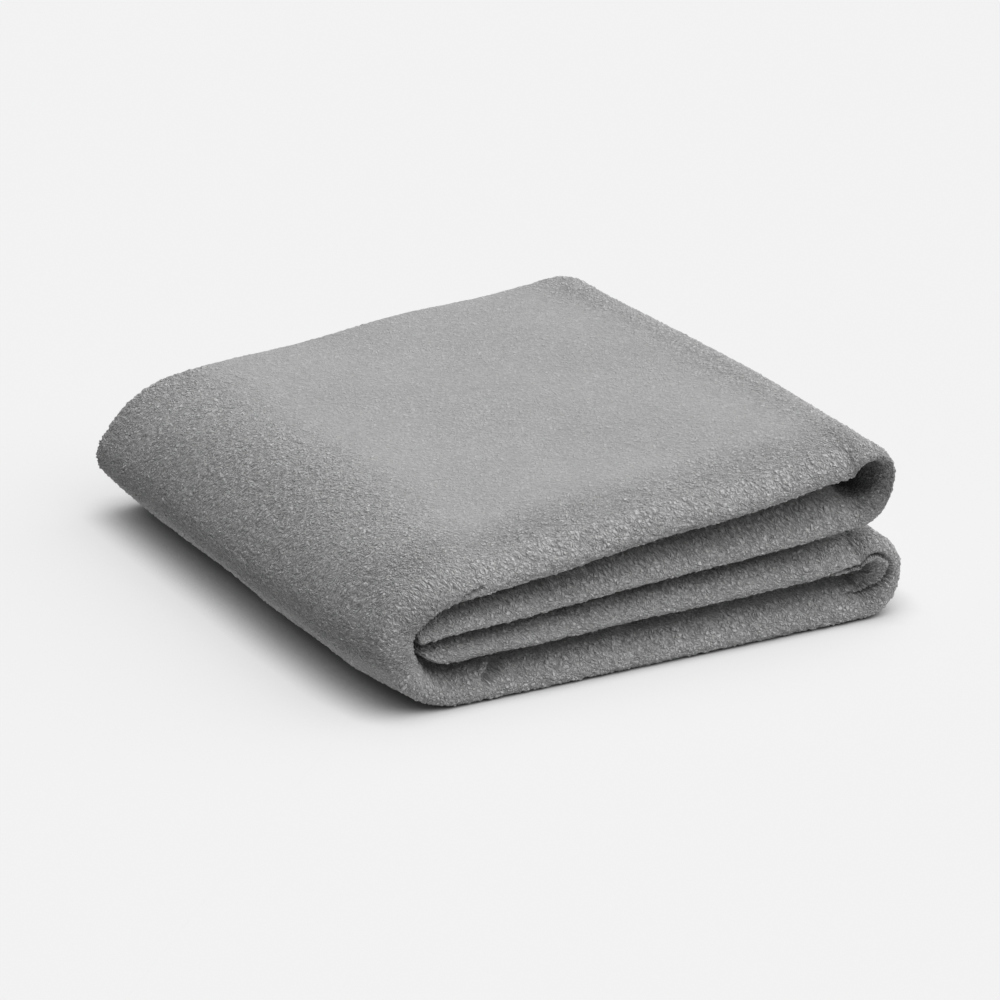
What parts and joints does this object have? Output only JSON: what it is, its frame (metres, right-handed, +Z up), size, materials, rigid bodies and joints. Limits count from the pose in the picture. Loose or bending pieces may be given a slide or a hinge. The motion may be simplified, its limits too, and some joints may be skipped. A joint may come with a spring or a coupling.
{
  "type": "folded throw blanket",
  "caption": "Fleece throw blanket folded into a thick square pad with a round spine, two end folds and tucked free ends; opens like a book.",
  "frame": {"origin": "middle of the base of the folded blanket, on the surface it lies on", "axes": "+X from the round spine to the two end folds, +Y from the round front edges to the hemmed back edges, +Z up"},
  "size_m": [0.352, 0.38, 0.1123],
  "materials": {
    "fleece": "curly fleece pile, matt, mid grey",
    "hem_thread": "matt polyester overlock thread, grey",
    "label_satin": "blank woven satin ribbon, off-white"
  },
  "bodies": {
    "lower_half": {"bottom_panel_cloth": "fleece", "bottom_panel_first_hem": "hem_thread", "bottom_panel_second_hem": "hem_thread", "lower_end_fold_cloth": "fleece", "lower_end_fold_first_hem": "hem_thread", "lower_end_fold_second_hem": "hem_thread", "lower_flap_cloth": "fleece", "lower_flap_end_hem": "hem_thread", "lower_flap_first_hem": "hem_thread", "lower_flap_second_hem": "hem_thread", "spine_fold_cloth": "fleece", "spine_fold_first_hem": "hem_thread", "spine_fold_second_hem": "hem_thread"},
    "upper_half": {"care_label": "label_satin", "label_stitch_1": "hem_thread", "label_stitch_2": "hem_thread", "label_stitch_3": "hem_thread", "label_stitch_4": "hem_thread", "label_stitch_5": "hem_thread", "top_panel_cloth": "fleece", "top_panel_first_hem": "hem_thread", "top_panel_second_hem": "hem_thread", "upper_end_fold_cloth": "fleece", "upper_end_fold_first_hem": "hem_thread", "upper_end_fold_second_hem": "hem_thread", "upper_flap_cloth": "fleece", "upper_flap_end_hem": "hem_thread", "upper_flap_first_hem": "hem_thread", "upper_flap_second_hem": "hem_thread"}
  },
  "joints": [
    {"name": "book_fold", "type": "hinge", "parent": "lower_half", "child": "upper_half", "pos_m": [-0.176, 0, 0.05615], "axis": [0, -1, 0], "range_deg": [0, 180], "deforming": ["spine_fold_cloth", "spine_fold_first_hem", "spine_fold_second_hem"]}
  ]
}
